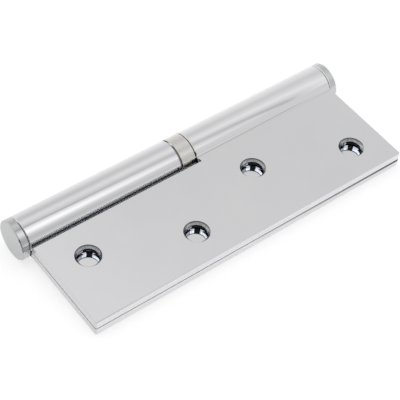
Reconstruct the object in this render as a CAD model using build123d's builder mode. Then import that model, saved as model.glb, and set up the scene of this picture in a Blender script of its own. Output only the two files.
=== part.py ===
"""Lift-off door hinge with a ball bearing between its two knuckles.

The hinge lies closed. The pin runs along X, with the origin on its axis in the middle of the bearing.
The leaves lie flat, one over the other, and point along -Y. The bottom leaf carries the pin and the
left knuckle, the top leaf carries the right knuckle. Lengths are in millimetres.
"""
import math
import os

from build123d import *

# Leaves, each one stamping of steel sheet with its knuckle rolled from the same sheet
leaf_length = 125.0
leaf_width = 43.0
sheet = 3.0
leaf_gap = 0.3
bend_radius = 1.5
corner_radius = 0.6
edge_break = 0.3
knuckle_edge = 0.25
notch_clearance = 1.25
notch_relief = 0.35
notch_rollover = 0.4

# Screw holes, sunk from both faces. Below a round land the wall breaks out wider, as punching leaves it
hole_radius = 3.55
outer_sink_depth = 0.98
land_depth = 0.4
inner_sink_depth = 0.45
sink_angle = 82.0
wall_spread = 0.2
outer_hole_x = 50.0
inner_hole_x = 16.0
near_row = 20.4
far_row = 31.7

# Pin
pin_diameter = 7.9
pin_clearance = 0.05
pin_reach = 45.0
nose_length = 2.5
nose_drop = 1.2
pin_chamfer = 0.5
seat_setback = 1.0

# End caps
cap_thickness = 2.7
cap_chamfer = 0.35
cap_back_chamfer = 0.1
cap_gap = 0.22
spigot_length = 8.0
spigot_chamfer = 0.6
pin_end_gap = 0.5

# Bearing between the knuckles
bearing_height = 6.3
ring_length = 5.5
ring_shift = 0.1
ring_wall = 0.5
ring_recess = 0.05
ring_chamfer = 0.12
ball_diameter = 1.5
ball_count = 12
ball_clearance = 0.05
race_bore_clearance = 0.1
race_rim_clearance = 0.15
race_spacing = 0.9
race_chamfer = 0.2
cage_thickness = 0.5
cage_clearance = 0.15

# Sizes that follow
pin_radius = pin_diameter / 2
bore_radius = pin_radius + pin_clearance
barrel_radius = bore_radius + sheet
inner_z = leaf_gap / 2
outer_z = inner_z + sheet
half_length = leaf_length / 2
knuckle_face = bearing_height / 2
notch_edge = barrel_radius + notch_clearance
ring_radius = barrel_radius - ring_recess
ring_bore = ring_radius - ring_wall
race_bore = pin_radius + race_bore_clearance
ball_radius = ball_diameter / 2
pitch_radius = (race_bore + ring_bore) / 2
groove_radius = ball_radius + ball_clearance

# The bend between leaf and knuckle is an arc that touches both the leaf and the barrel
bend_z = outer_z + bend_radius
bend_y = -math.sqrt((barrel_radius + bend_radius) ** 2 - bend_z ** 2)
bend_angle = math.degrees(math.atan2(bend_z, bend_y))

os.makedirs("parts", exist_ok=True)


def finish(piece, name):
    """Label a finished piece and write it."""
    piece.part.label = name
    export_step(piece.part, f"parts/{name}.step")


def rolled_section():
    """Section of the sheet through a knuckle: flat leaf, bend, and a roll that ends at mid-plane."""
    with BuildSketch(Plane.YZ) as section:
        with BuildLine():
            free_edge = Line((-leaf_width, inner_z), (-leaf_width, outer_z))
            Line(free_edge @ 1, (bend_y, outer_z))
            CenterArc((bend_y, bend_z), bend_radius, -90, bend_angle - 90)
            CenterArc((0, 0), barrel_radius, bend_angle, -180 - bend_angle)
            Line((-barrel_radius, 0), (-bore_radius, 0))
            CenterArc((0, 0), bore_radius, -180, 180 + bend_angle)
            CenterArc((bend_y, bend_z), bend_radius + sheet, bend_angle - 180, 90 - bend_angle)
            Line((bend_y, inner_z), free_edge @ 0)
        make_face()
    return section.sketch


def hole_core():
    """What a screw hole takes out of the sheet."""
    sink_slope = math.tan(math.radians(sink_angle / 2))
    with BuildSketch(Plane.XZ) as section:
        with BuildLine():
            axis_line = Line((0, inner_z), (0, outer_z))
            Polyline(
                axis_line @ 1,
                (hole_radius + outer_sink_depth * sink_slope, outer_z),
                (hole_radius, outer_z - outer_sink_depth),
                (hole_radius, outer_z - outer_sink_depth - land_depth),
                (hole_radius + wall_spread, inner_z + inner_sink_depth),
                (hole_radius + wall_spread + inner_sink_depth * sink_slope, inner_z),
                axis_line @ 0,
            )
        make_face()
    return revolve(section.sketch, axis=Axis.Z, mode=Mode.PRIVATE)


# Top leaf, which carries the right knuckle
hole_places = [
    (-outer_hole_x, -near_row),
    (-inner_hole_x, -far_row),
    (inner_hole_x, -near_row),
    (outer_hole_x, -far_row),
]
with BuildPart() as top_leaf:
    # The half with the knuckle
    with Locations((knuckle_face, 0, 0)):
        add(extrude(rolled_section(), half_length - knuckle_face, mode=Mode.PRIVATE))
    # The half beside the other leaf's knuckle is flat and stops short of that barrel
    with BuildSketch(Plane.XY.offset(inner_z)):
        with Locations((-half_length, -leaf_width)):
            Rectangle(half_length + knuckle_face, leaf_width - notch_edge, align=(Align.MIN, Align.MIN))
    extrude(amount=sheet)
    # The notch runs a little past the knuckle's end, as far as the start of the bend
    with BuildSketch(Plane.XY.offset(inner_z)):
        with Locations((knuckle_face, -notch_edge)):
            Rectangle(notch_relief, notch_edge + bend_y, align=(Align.MIN, Align.MIN))
    extrude(amount=sheet, mode=Mode.SUBTRACT)
    # Screw holes
    with Locations(*hole_places):
        add(hole_core(), mode=Mode.SUBTRACT)
    # Corners in plan, then the outer edge, which is broken all the way round the end of the knuckle
    fillet(top_leaf.edges().filter_by(Axis.Z).group_by(Axis.Y)[0], corner_radius)
    outer_face = top_leaf.faces().filter_by(Axis.Z).group_by(Axis.Z)[-1][0]
    chamfer(outer_face.outer_wire().edges().group_by(Axis.Y)[0], edge_break)
    # The long edge of the notch, which shearing rolls over at the outer face
    notch_rim = top_leaf.edges().filter_by(Axis.X).sort_by_distance((0, -notch_edge, outer_z))[0]
    fillet(notch_rim, notch_rollover)
    # The knuckle's end at the bearing
    bearing_end = top_leaf.faces().filter_by(Axis.X).filter_by(
        lambda face: abs(face.center().X - knuckle_face) < notch_relief / 2
    )[0]
    rim = bearing_end.edges().filter_by(GeomType.CIRCLE).sort_by(SortBy.LENGTH)[-1]
    chamfer(rim, knuckle_edge)
finish(top_leaf, "top_leaf")

# Bottom leaf: the same stamping turned over end for end, so that its knuckle comes to the left
with BuildPart() as bottom_leaf:
    add(top_leaf.part.rotate(Axis.Y, 180))
finish(bottom_leaf, "bottom_leaf")

# Pin: its thicker end is pressed into the left knuckle, the long thinner end carries the rest
pin_start = -half_length - cap_gap + spigot_length + pin_end_gap
seat_end = -knuckle_face - seat_setback
with BuildPart() as pin:
    with BuildSketch(Plane.YZ.offset(pin_start)):
        Circle(bore_radius)
    extrude(amount=seat_end - pin_start)
    chamfer(pin.edges().group_by(Axis.X)[0], pin_chamfer)
    with BuildSketch(Plane.YZ.offset(seat_end)):
        Circle(pin_radius)
    extrude(amount=pin_reach - seat_end)
    pin_side = pin.faces().sort_by(Axis.X)[-2]
    chamfer(pin.edges().group_by(Axis.X)[-1], nose_length, nose_drop, reference=pin_side)
finish(pin, "pin")

# End caps: turned plugs, a head as wide as the barrel and a spigot that fills the end of the bore
cap_seat = half_length + cap_gap
with BuildPart() as right_end_cap:
    with BuildSketch(Plane.YZ.offset(cap_seat)):
        Circle(barrel_radius)
    extrude(amount=cap_thickness)
    chamfer(right_end_cap.edges().group_by(Axis.X)[-1], cap_chamfer)
    chamfer(right_end_cap.edges().group_by(Axis.X)[0], cap_back_chamfer)
    with BuildSketch(Plane.YZ.offset(cap_seat)):
        Circle(bore_radius)
    extrude(amount=-spigot_length)
    chamfer(right_end_cap.edges().group_by(Axis.X)[0], spigot_chamfer)
finish(right_end_cap, "right_end_cap")

with BuildPart() as left_end_cap:
    add(mirror(right_end_cap.part, about=Plane.YZ, mode=Mode.PRIVATE))
finish(left_end_cap, "left_end_cap")

# Bearing ring: the thin shell round the bearing, narrower than the two races and nearer the upper one
with BuildPart() as bearing_ring:
    with BuildSketch(Plane.YZ.offset(ring_shift)):
        Circle(ring_radius)
        Circle(ring_bore, mode=Mode.SUBTRACT)
    extrude(amount=ring_length / 2, both=True)
    outer_rims = bearing_ring.edges().filter_by(GeomType.CIRCLE).group_by(SortBy.RADIUS)[-1]
    chamfer(outer_rims, ring_chamfer)
finish(bearing_ring, "bearing_ring")


def race_section(rim_radius):
    """Half section of the right race, in X and Y: a washer with a round groove for the balls."""
    with BuildSketch(Plane.XY) as section:
        with Locations((race_spacing / 2, race_bore)):
            Rectangle(
                (bearing_height - race_spacing) / 2,
                rim_radius - race_bore,
                align=(Align.MIN, Align.MIN),
            )
        with Locations((0, pitch_radius)):
            Circle(groove_radius, mode=Mode.SUBTRACT)
        back_corners = section.vertices().group_by(Axis.X)[-1]
        chamfer(back_corners, race_chamfer)
    return section.sketch


# The lower race fills the ring, the upper race turns inside it
with BuildPart() as lower_race:
    revolve(mirror(race_section(ring_bore), about=Plane.YZ, mode=Mode.PRIVATE), axis=Axis.X)
finish(lower_race, "lower_race")

with BuildPart() as upper_race:
    revolve(race_section(ring_bore - race_rim_clearance), axis=Axis.X)
finish(upper_race, "upper_race")

# Ball cage: a thin disc with a pocket for each ball
with BuildPart() as ball_cage:
    with BuildSketch(Plane.YZ):
        Circle(ring_bore - cage_clearance)
        Circle(race_bore + cage_clearance, mode=Mode.SUBTRACT)
        with PolarLocations(pitch_radius, ball_count):
            Circle(groove_radius, mode=Mode.SUBTRACT)
    extrude(amount=cage_thickness / 2, both=True)
finish(ball_cage, "ball_cage")

# Balls, numbered round the pitch circle
ball_places = PolarLocations(pitch_radius, ball_count).local_locations
for number, place in enumerate(ball_places, start=1):
    with BuildPart(Plane.YZ * place) as ball:
        Sphere(ball_radius)
    finish(ball, f"ball_{number:02d}")
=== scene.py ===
"""Looks for the lift-off ball bearing hinge: plated and turned metals, a pale studio and the camera."""
import math

import bpy
from mathutils import Matrix, Vector


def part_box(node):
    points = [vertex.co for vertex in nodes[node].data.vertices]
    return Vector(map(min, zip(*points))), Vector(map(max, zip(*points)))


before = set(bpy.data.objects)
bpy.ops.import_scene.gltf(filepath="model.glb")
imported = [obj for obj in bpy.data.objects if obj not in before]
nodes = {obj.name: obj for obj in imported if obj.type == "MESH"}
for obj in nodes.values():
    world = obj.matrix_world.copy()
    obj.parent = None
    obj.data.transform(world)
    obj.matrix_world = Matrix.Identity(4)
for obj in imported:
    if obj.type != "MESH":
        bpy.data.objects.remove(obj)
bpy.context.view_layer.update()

MM = 0.001
upwards = Vector((0, 0, 1))

# Sizes that the frame gives
leaf_low, leaf_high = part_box("bottom_leaf")
barrel_radius = -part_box("left_end_cap")[0].z
leaf_end_x = leaf_high.x
leaf_edge_y = leaf_low.y

# Places on the leaves that it doesn't give, with heights from the middle of the gap between them
leaf_face_z = 3.15 * MM
land_low_z = 1.77 * MM
bend_start_y = -7.2 * MM
mirrored_from_y = -15.5 * MM
notch_from, notch_to = barrel_radius + 1 * MM, barrel_radius + 2 * MM


# Node trees

class Tree:
    """Short ways to add nodes to a node tree."""

    def __init__(self, tree):
        self.tree = tree

    def feed(self, socket, value):
        """Links the socket to another one, or gives it a plain value."""
        if isinstance(value, bpy.types.NodeSocket):
            self.tree.links.new(value, socket)
        else:
            socket.default_value = value

    def node(self, kind, inputs=(), **settings):
        made = self.tree.nodes.new("ShaderNode" + kind)
        for name, value in settings.items():
            setattr(made, name, value)
        for key, value in dict(inputs).items():
            self.feed(made.inputs[key], value)
        return made

    def maths(self, operation, *values):
        made = self.node("Math", operation=operation)
        for socket, value in zip(made.inputs, values):
            self.feed(socket, value)
        return made.outputs[0]

    def plus(self, first, second):
        return self.maths("ADD", first, second)

    def minus(self, first, second):
        return self.maths("SUBTRACT", first, second)

    def times(self, first, *others):
        for other in others:
            first = self.maths("MULTIPLY", first, other)
        return first

    def larger(self, first, second):
        return self.maths("MAXIMUM", first, second)

    def size(self, value):
        return self.maths("ABSOLUTE", value)

    def hypotenuse(self, first, second):
        return self.maths("SQRT", self.plus(self.times(first, first), self.times(second, second)))

    def below(self, value, limit):
        """1 where the value is less than the limit, otherwise 0."""
        return self.maths("LESS_THAN", value, limit)

    def above(self, value, limit):
        """1 where the value is greater than the limit, otherwise 0."""
        return self.maths("GREATER_THAN", value, limit)

    def between(self, value, low, high):
        return self.times(self.above(value, low), self.below(value, high))

    def remap(self, value, low, high, to_low=0.0, to_high=1.0):
        """Turns low into to_low and high into to_high, and stays between the two."""
        return self.node("MapRange", {0: value, 1: low, 2: high, 3: to_low, 4: to_high}).outputs[0]

    def blend(self, factor, first, second):
        return self.node("Mix", {0: factor, 2: first, 3: second}).outputs[0]

    def dot(self, first, second):
        return self.node("VectorMath", {0: first, 1: second}, operation="DOT_PRODUCT").outputs["Value"]

    def shader_mix(self, factor, first, second):
        return self.node("MixShader", {0: factor, 1: first, 2: second}).outputs[0]


# Materials

class Surface(Tree):
    """A metal whose patterns lie in the frame's own axes, in metres."""

    def __init__(self, name):
        self.material = bpy.data.materials.new(name)
        self.material.use_nodes = True
        super().__init__(self.material.node_tree)
        self.shader = self.tree.nodes["Principled BSDF"]
        self.set("Metallic", 1.0)
        self.coordinates = self.node("TexCoord").outputs
        self.relief = None

    def set(self, name, value):
        self.feed(self.shader.inputs[name], value)

    def place(self):
        return self.node("SeparateXYZ", {0: self.coordinates["Object"]}).outputs

    def facing(self):
        return self.node("SeparateXYZ", {0: self.coordinates["Normal"]}).outputs

    def noise(self, size, detail=2.0, stretch=(1, 1, 1), vector=None):
        """Noise whose features are about size across, longer by stretch along each axis."""
        source = vector or self.coordinates["Object"]
        scale = tuple(1 / (size * longer) for longer in stretch)
        mapped = self.node("Mapping", {"Vector": source, "Scale": scale}).outputs[0]
        return self.node("TexNoise", {"Vector": mapped, "Scale": 1.0, "Detail": detail}).outputs["Fac"]

    def mix(self, factor, first, second):
        """A colour between two others. Each is a socket, or red, green and blue."""
        first, second = ((*part, 1) if isinstance(part, tuple) else part for part in (first, second))
        return self.node("Mix", {"Factor": factor, 6: first, 7: second}, data_type="RGBA").outputs[2]

    def bump(self, height, depth):
        """Adds a relief of that depth to the ones before."""
        made = self.node("Bump", {"Height": height, "Distance": depth})
        if self.relief:
            self.feed(made.inputs["Normal"], self.relief)
        self.relief = made.outputs[0]
        self.set("Normal", self.relief)


def leaf_regions(metal, place):
    """Masks for the regions of a leaf, which are told apart by their place and the way they face."""
    x, y, z = place
    nx, ny, nz = metal.facing()
    height = metal.size(z)
    from_axis = metal.hypotenuse(y, z)
    # 1 where a face looks away from the other leaf, -1 where it looks back at it
    outwards = metal.times(nz, metal.maths("SIGN", z))
    # A face looks straight along an axis where its normal reaches this share of 1
    straight = 0.9
    at = {}

    # Inside the outline of the leaf only the holes have faces that aren't level
    outline_margin, notch_margin = 1.5 * MM, 3 * MM
    inside = metal.times(
        metal.below(metal.size(x), leaf_end_x - outline_margin),
        metal.below(y, -barrel_radius - notch_margin),
        metal.above(y, leaf_edge_y + outline_margin),
    )
    hole = metal.times(inside, metal.below(metal.size(nz), 0.95))
    at["outer_sink"] = metal.times(hole, metal.above(outwards, 0.4))
    at["hole_wall"] = metal.minus(hole, at["outer_sink"])
    # The sink is painted darker as shade, except on its side at the leaf's free edge, which keeps the
    # plate's colour
    at["shaded_sink"] = metal.times(at["outer_sink"], metal.remap(ny, 0.45, 0.15))
    # The outer band of the sink is painted near-black, a painted shade
    rim_low_z, rim_full_z = leaf_face_z - 0.55 * MM, leaf_face_z - 0.1 * MM
    at["sink_rim_shade"] = metal.times(at["shaded_sink"], metal.remap(height, rim_low_z, rim_full_z))
    # The round land just below the outer sink, painted near-black as shade
    at["land"] = metal.times(
        at["hole_wall"],
        metal.above(height, land_low_z - 0.02 * MM),
        metal.below(metal.size(nz), 0.1),
    )

    # Sheared faces are upright and flat
    upright = metal.above(metal.larger(metal.size(nx), metal.size(ny)), straight)
    off_barrel = metal.above(from_axis, barrel_radius + 0.2 * MM)
    at["sheared"] = metal.times(upright, metal.larger(off_barrel, metal.size(nx)), metal.minus(1.0, hole))
    # The notch has the only faces beside the barrel that look back at it, its outer edge rolled over
    at["notch"] = metal.times(
        metal.between(y, -notch_to, -notch_from),
        metal.above(ny, 0.15),
        metal.below(metal.size(nx), 0.5),
    )
    at["rolled"] = metal.times(at["notch"], metal.above(outwards, 0.2))
    # The hollow of the bend, where the knuckle begins, painted a little darker as shade
    at["bend"] = metal.times(
        metal.above(y, bend_start_y),
        metal.above(from_axis, barrel_radius + 0.08 * MM),
        metal.between(outwards, 0.2, 0.995),
    )
    # The knuckles' ends, painted dark as the shade in their joints, but for the one at the right cap
    at["end"] = metal.times(
        metal.below(x, leaf_end_x - 1 * MM),
        metal.above(metal.size(nx), straight),
        metal.below(from_axis, barrel_radius + 2 * MM),
        metal.below(metal.size(y), barrel_radius + 0.1 * MM),
    )
    # The gap between the leaves opens a little towards the right, where its edges are painted dark as the
    # shade in it
    seam_z, seam_full, seam_none = -0.3 * MM, 0.35 * MM, 0.75 * MM
    seam_left_x, seam_right_x = -5 * MM, 60 * MM
    at["seam"] = metal.times(
        metal.below(y, leaf_edge_y + 0.2 * MM),
        metal.remap(metal.size(metal.minus(z, seam_z)), seam_none, seam_full),
        metal.remap(x, seam_left_x, seam_right_x),
    )
    # The face towards the other leaf, as far out as it and the barrel mirror each other
    at["inner_face"] = metal.times(
        metal.below(outwards, -straight),
        metal.below(height, 0.3 * MM),
        metal.above(y, mirrored_from_y),
    )
    at["round_face"] = metal.below(metal.size(metal.minus(from_axis, barrel_radius)), 0.1 * MM)
    return at


# Colours on the leaves. A pair holds the darkest and the brightest colour of a pattern
plate_colours = (0.722, 0.722, 0.738), (0.738, 0.738, 0.747)
# Painted shade in the countersinks
sink_shade_colours = (0.26, 0.27, 0.285), (0.54, 0.555, 0.57)
# Painted shade in the holes' walls, tinted blue as a painted reflection
wall_shade_colours = (0.34, 0.37, 0.41), (0.60, 0.64, 0.70)
# Streaks on the notch's sheared edge; their brightest colour, whiter than the plate, is a painted
# highlight
tick_and_highlight_colours = (0.55, 0.57, 0.59), (1.0, 1.0, 1.0)
# Painted shade on the knuckles' ends
end_shade_colour = (0.10, 0.10, 0.105)
# Painted shade along the gap between the leaves
seam_shade_colour = (0.10, 0.10, 0.11)
# Painted shade on the holes' lands
land_shade_colour = (0.06, 0.065, 0.08)
# Painted shade in the hollow of the bend
bend_shade_colour = (0.60, 0.60, 0.61)
# Painted shade on the outer band of the countersinks
rim_shade_colour = (0.09, 0.092, 0.10)
tick_pitch = 0.62 * MM
tick_wander = 6.0
inner_dullness, round_dullness = 0.7, 0.22


def chrome_leaf():
    """Bright chrome over rolled steel. Sheared edges are streaked, and the holes are duller inside, with
    painted shade in them and on the ends, the seam and the bend, and a painted highlight on the notch.
    """
    metal = Surface("polished_chrome_plate")
    place = metal.place()
    at = leaf_regions(metal, place)

    haze = metal.noise(9 * MM, detail=4)
    chatter = metal.noise(0.45 * MM, detail=3)
    streaks = metal.noise(0.38 * MM, detail=2, stretch=(1, 1, 14))
    wander = metal.times(metal.noise(4 * MM), tick_wander)
    ticks = metal.maths("SINE", metal.maths("MULTIPLY_ADD", place["X"], 2 * math.pi / tick_pitch, wander))

    colour = metal.mix(metal.remap(haze, 0.3, 0.7), *plate_colours)
    layers = {
        "shaded_sink": metal.mix(metal.remap(chatter, 0.36, 0.64), *sink_shade_colours),
        "hole_wall": metal.mix(metal.remap(streaks, 0.36, 0.64), *wall_shade_colours),
        "notch": metal.mix(metal.remap(ticks, -0.6, 0.8), *tick_and_highlight_colours),
        "end": end_shade_colour,
        "seam": seam_shade_colour,
        "land": land_shade_colour,
        "bend": bend_shade_colour,
        "sink_rim_shade": rim_shade_colour,
    }
    for region, layer in layers.items():
        colour = metal.mix(at[region], colour, layer)
    metal.set("Base Color", colour)

    roughness = metal.remap(haze, 0.35, 0.7, 0.02, 0.035)
    rougher = {"sheared": 0.14, "rolled": 0.5, "end": 0.4, "outer_sink": 0.2, "hole_wall": 0.05}
    for region, value in rougher.items():
        roughness = metal.blend(at[region], roughness, value)
    metal.set("Roughness", roughness)

    # Where the barrel and the inner face beside it mirror each other, dull spots soften the reflection
    dullness = metal.plus(
        metal.times(at["inner_face"], inner_dullness), metal.times(at["round_face"], round_dullness)
    )
    mirrored = metal.times(dullness, metal.node("LightPath").outputs["Is Glossy Ray"])
    metal.set("Metallic", metal.minus(1.0, mirrored))

    metal.bump(metal.noise(7 * MM, detail=1), 0.004 * MM)
    metal.bump(metal.noise(0.8 * MM, detail=3, stretch=(40, 1, 1)), 0.0005 * MM)
    metal.bump(metal.times(streaks, at["sheared"]), 0.02 * MM)
    metal.bump(metal.times(ticks, at["notch"]), 0.002 * MM)
    metal.bump(metal.times(streaks, at["hole_wall"]), 0.012 * MM)
    metal.bump(metal.times(chatter, at["outer_sink"]), 0.05 * MM)
    return metal.material


def chrome_cap():
    """The turned end caps: greyer chrome with the faint rings of the lathe under it."""
    metal = Surface("turned_chrome")
    x, y, z = metal.place()
    metal.set("Roughness", metal.remap(metal.noise(5 * MM, detail=4), 0.35, 0.7, 0.07, 0.13))
    # The seat of the right cap is made matt and painted pale, a painted highlight that keeps its joint
    # light
    painted_light_seat = metal.times(metal.above(x, 0.0), metal.below(metal.facing()["X"], -0.5))
    metal.set("Metallic", metal.minus(1.0, painted_light_seat))
    metal.set("Base Color", metal.mix(painted_light_seat, (0.56, 0.565, 0.57), (0.97, 0.97, 0.97)))
    rings = metal.node("CombineXYZ", {0: x, 1: metal.hypotenuse(y, z)}).outputs[0]
    metal.bump(metal.noise(0.12 * MM, vector=rings), 0.0008 * MM)
    metal.bump(metal.noise(3 * MM, detail=1), 0.003 * MM)
    return metal.material


def satin_ring():
    """The bearing's ring: plain satin nickel, brushed round its axis."""
    metal = Surface("brushed_nickel")
    metal.set("Base Color", (0.655, 0.635, 0.61, 1))
    metal.set("Roughness", metal.remap(metal.noise(2 * MM, detail=4), 0.3, 0.7, 0.13, 0.22))
    metal.bump(metal.noise(0.05 * MM, detail=3, stretch=(1, 60, 60)), 0.002 * MM)
    return metal.material


def inner_metal(name, colour, roughness):
    """Metal of the parts inside, ground round the pin's axis."""
    metal = Surface(name)
    metal.set("Base Color", (*colour, 1))
    worn = metal.noise(1.5 * MM, detail=4)
    metal.set("Roughness", metal.remap(worn, 0.3, 0.7, roughness * 0.8, roughness * 1.3))
    metal.bump(metal.noise(0.06 * MM, stretch=(1, 40, 40)), 0.001 * MM)
    return metal.material


def dress(material, *names):
    for name in names:
        node = nodes[name]
        node.data.materials.clear()
        node.data.materials.append(material)


dress(chrome_leaf(), "top_leaf", "bottom_leaf")
dress(chrome_cap(), "left_end_cap", "right_end_cap")
dress(satin_ring(), "bearing_ring")
dress(inner_metal("ground_pin_steel", (0.56, 0.56, 0.55), 0.18), "pin")
dress(inner_metal("hardened_race_steel", (0.50, 0.50, 0.51), 0.2), "lower_race", "upper_race")
dress(inner_metal("stamped_cage_brass", (0.80, 0.60, 0.30), 0.25), "ball_cage")
balls = [name for name in nodes if name.startswith("ball_") and name != "ball_cage"]
dress(inner_metal("ball_steel", (0.58, 0.58, 0.59), 0.06), *balls)


# Camera

azimuth, elevation, roll = (math.radians(angle) for angle in (-41.99, 49.618, 6.301))
target = Vector((-5.447, -19.757, 0)) * MM
distance = 433.168 * MM
focal_pixels = 1319.5
image_pixels = 400

towards = Vector((math.sin(azimuth), -math.cos(azimuth), 0))
back = math.cos(elevation) * towards + math.sin(elevation) * upwards
level_right = upwards.cross(back).normalized()
level_up = back.cross(level_right)
right = math.cos(roll) * level_right + math.sin(roll) * level_up
up = -math.sin(roll) * level_right + math.cos(roll) * level_up
camera = bpy.data.objects.new("camera", bpy.data.cameras.new("camera"))
camera.data.sensor_width = 36
camera.data.lens = focal_pixels * camera.data.sensor_width / image_pixels
camera.data.clip_start = 0.01
camera.matrix_world = Matrix.Translation(target + distance * back) @ Matrix(
    (right, up, back)
).transposed().to_4x4()
bpy.context.scene.collection.objects.link(camera)
bpy.context.scene.camera = camera
bpy.context.scene.view_settings.view_transform = "Standard"


# Floor

floor_reach = 3.0
floor_colour = (0.92, 0.92, 0.92, 1)
see_through = 0.70


def lay_floor():
    """A pale sheet that touches the barrel and the bottom leaf's free edge, as a table does.

    The camera and the metal see mostly the white ground through it, and from below it isn't there at
    all. It keeps a shadow, and a leaf that swings below it can still be seen.
    """
    reach = math.hypot(leaf_edge_y, leaf_face_z)
    tilt = math.asin(barrel_radius / reach) - math.atan2(leaf_face_z, -leaf_edge_y)
    corners = [
        (-floor_reach, -floor_reach, 0), (floor_reach, -floor_reach, 0),
        (floor_reach, floor_reach, 0), (-floor_reach, floor_reach, 0),
    ]
    mesh = bpy.data.meshes.new("floor")
    mesh.from_pydata(corners, [], [(0, 1, 2, 3)])
    floor = bpy.data.objects.new("floor", mesh)
    bpy.context.scene.collection.objects.link(floor)
    floor.matrix_world = Matrix.Rotation(-tilt, 4, "X") @ Matrix.Translation((0, 0, -barrel_radius))
    material = bpy.data.materials.new("pale_floor")
    material.use_nodes = True
    material.node_tree.nodes.clear()
    sheet = Tree(material.node_tree)
    paint = sheet.node("BsdfDiffuse", {"Color": floor_colour}).outputs[0]
    clear = sheet.node("BsdfTransparent").outputs[0]
    path = sheet.node("LightPath").outputs
    seen = sheet.times(sheet.larger(path["Is Camera Ray"], path["Is Glossy Ray"]), see_through)
    from_below = sheet.node("NewGeometry").outputs["Backfacing"]
    result = sheet.shader_mix(sheet.larger(seen, from_below), paint, clear)
    sheet.feed(sheet.node("OutputMaterial").inputs[0], result)
    mesh.materials.append(material)


# Light of the studio. The half of it that the barrel and the leaves show to the camera is made of
# long cards, which run along one direction overhead. Each pair is an angle in degrees round that
# direction, from straight up, and a brightness, where 1 is white paper. The cards differ a little
# between the part of the studio near the left end of the hinge and the part beyond its right end.
card_direction = Vector((0.5075, -0.7484, 0.4271)).normalized()
near_cards = [
    (-180, 0.85), (-145, 0.75), (-115, 0.66), (-85, 0.67), (-60, 0.73), (-40, 0.79), (-22, 0.94),
    (-9, 1.17), (-1, 1.33), (4, 1.31), (8, 1.20), (13, 0.98), (15.5, 0.82), (17.2, 0.54),
    (18.4, 0.56), (20, 0.76), (29, 0.945), (34, 0.905), (38, 0.805), (43, 0.71), (49, 0.75),
    (57, 0.845), (66, 0.94), (80, 0.98), (110, 1.00), (150, 1.00), (180, 0.85),
]
far_cards = [
    (-180, 0.85), (-145, 0.75), (-115, 0.66), (-85, 0.74), (-60, 0.96), (-40, 0.94), (-22, 0.97),
    (0, 0.92), (9, 0.90), (14, 0.93), (18, 0.87), (20.5, 0.66), (22.5, 0.64), (25, 0.84), (31, 1.05),
    (35, 0.94), (40, 0.86), (44, 0.80), (50, 0.83), (60, 0.96), (72, 0.99), (84, 1.05), (96, 1.17),
    (108, 1.27), (130, 1.32), (180, 0.85),
]
# Directions lie further right as their x grows. Here the near cards give way to the far ones
near_until_x, far_from_x = 0.35, 0.50
# Round the direction in which the cards run together their light evens out
pole_full, pole_none = 5, 12
pole_brightness = 0.83
# Left and right of what the photo shows the cards are no brighter than this, so that no leaf turns
# plain white in another view
calm_brightness = 0.96
calm_left_x, shown_from_x, shown_until_x, calm_right_x = 0.24, 0.30, 0.62, 0.68

# The walls of the screw holes show the studio on the camera's side, at second hand. There it is a bright
# strip with the dark shape of the camera and its stand in it, and the unlit top of the studio above.
# Only such deep reflections show it, so that the leaves stay bright from every side. Heights and widths
# are angles in degrees, the widths to either side of where the camera stands.
deep_from = 1.5
side_brightness = 0.92
strip_brightness = 2.2
dark_brightness = 0.03
strip_low, strip_top, dark_top = 18, 43, 73
stand_low, stand_half_width = 5, 26
side_half_width = 148
side_full_x, side_none_x = 0.26, 0.33
sharp_edge, side_edge = 1.5, 6

# The ground grows brighter from left to right, further right behind the hinge than before it
ground_left, ground_right = 0.86, 1.08
ground_left_x, ground_right_x = -0.12, 0.06
behind_shift = 0.38
# Low on the camera's side the table ends and the dark room begins, which lines the turned edges
room_brightness = 0.04
room_low, room_top, room_half_width = -42, 9, 55
room_full_x, room_none_x = -0.4, -0.3
room_edge = 3


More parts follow.
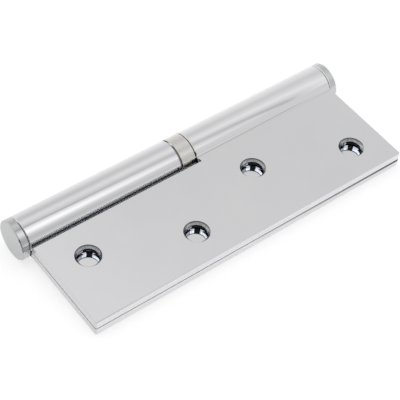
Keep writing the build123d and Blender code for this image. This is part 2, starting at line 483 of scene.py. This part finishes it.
def light_studio():
    world = bpy.data.worlds.new("studio")
    bpy.context.scene.world = world
    world.use_nodes = True
    world.node_tree.nodes.clear()
    sky = Tree(world.node_tree)
    direction = sky.node("TexCoord").outputs["Generated"]
    x, y, z = sky.node("SeparateXYZ", {0: direction}).outputs
    height = sky.maths("ARCSINE", z)
    sideways = towards.cross(upwards)
    aside = sky.size(sky.maths("ARCTAN2", sky.dot(direction, sideways), sky.dot(direction, towards)))
    path = sky.node("LightPath").outputs

    over = (upwards - card_direction.z * card_direction).normalized()
    across = over.cross(card_direction)
    turn = sky.remap(
        sky.maths("ARCTAN2", sky.dot(direction, across), sky.dot(direction, over)), -math.pi, math.pi
    )

    def cards(pairs):
        made = sky.node("ValToRGB", {0: turn})
        elements = made.color_ramp.elements
        for place, (degrees, level) in enumerate(pairs):
            position = (degrees + 180) / 360
            stop = elements[place] if place < len(elements) else elements.new(position)
            stop.position = position
            stop.color = (level, level, level, 1)
        return sky.node("SeparateColor", {0: made.outputs[0]}).outputs[0]

    def within(value, high, soft):
        """1 up to an angle in degrees, 0 beyond it."""
        return sky.remap(value, math.radians(high - soft), math.radians(high + soft), 1.0, 0.0)

    def band(value, low, high, soft):
        """1 between two angles in degrees, 0 outside."""
        rise = sky.remap(value, math.radians(low - soft), math.radians(low + soft))
        return sky.times(rise, within(value, high, soft))

    card_light = sky.blend(sky.remap(x, near_until_x, far_from_x), cards(near_cards), cards(far_cards))
    pole_edges = (math.cos(math.radians(angle)) for angle in (pole_none, pole_full))
    pole = sky.remap(sky.dot(direction, card_direction), *pole_edges)
    card_light = sky.blend(pole, card_light, pole_brightness)
    shown_in_photo = sky.times(
        sky.remap(x, calm_left_x, shown_from_x), sky.remap(x, calm_right_x, shown_until_x)
    )
    calm_light = sky.maths("MINIMUM", card_light, calm_brightness)
    light = sky.blend(shown_in_photo, calm_light, card_light)

    strip = band(height, strip_low, strip_top, sharp_edge)
    dark = band(height, strip_top, dark_top, sharp_edge)
    stand = sky.times(
        within(aside, stand_half_width, sharp_edge), band(height, stand_low, dark_top, sharp_edge)
    )
    side_light = sky.blend(strip, side_brightness, strip_brightness)
    side_light = sky.blend(sky.larger(dark, stand), side_light, dark_brightness)
    camera_side = sky.times(
        sky.above(path["Glossy Depth"], deep_from),
        within(aside, side_half_width, side_edge),
        sky.remap(x, side_none_x, side_full_x),
    )
    light = sky.blend(camera_side, light, side_light)

    shift = sky.times(sky.above(y, 0.0), behind_shift)
    ground = sky.remap(sky.minus(x, shift), ground_left_x, ground_right_x, ground_left, ground_right)
    light = sky.blend(sky.remap(z, 0.0, -0.02), light, ground)
    room = sky.times(
        within(aside, room_half_width, side_edge),
        band(height, room_low, room_top, room_edge),
        sky.remap(x, room_none_x, room_full_x),
    )
    light = sky.blend(room, light, room_brightness)

    grey = sky.node("CombineColor", {0: light, 1: light, 2: light}).outputs[0]
    studio = sky.node("Background", {"Color": grey}).outputs[0]
    backdrop = sky.node("Background", {"Color": (1, 1, 1, 1)}).outputs[0]
    result = sky.shader_mix(path["Is Camera Ray"], studio, backdrop)
    sky.feed(sky.node("OutputWorld").inputs[0], result)


def hang_lamp():
    """A soft lamp overhead that brightens the floor and draws no reflection."""
    lamp = bpy.data.objects.new("overhead_lamp", bpy.data.lights.new("overhead_lamp", "AREA"))
    lamp.data.size = 1.2
    lamp.data.energy = 9
    lamp.location = (0.1, 0.2, 1.5)
    lamp.visible_glossy = False
    bpy.context.scene.collection.objects.link(lamp)


lay_floor()
light_studio()
hang_lamp()
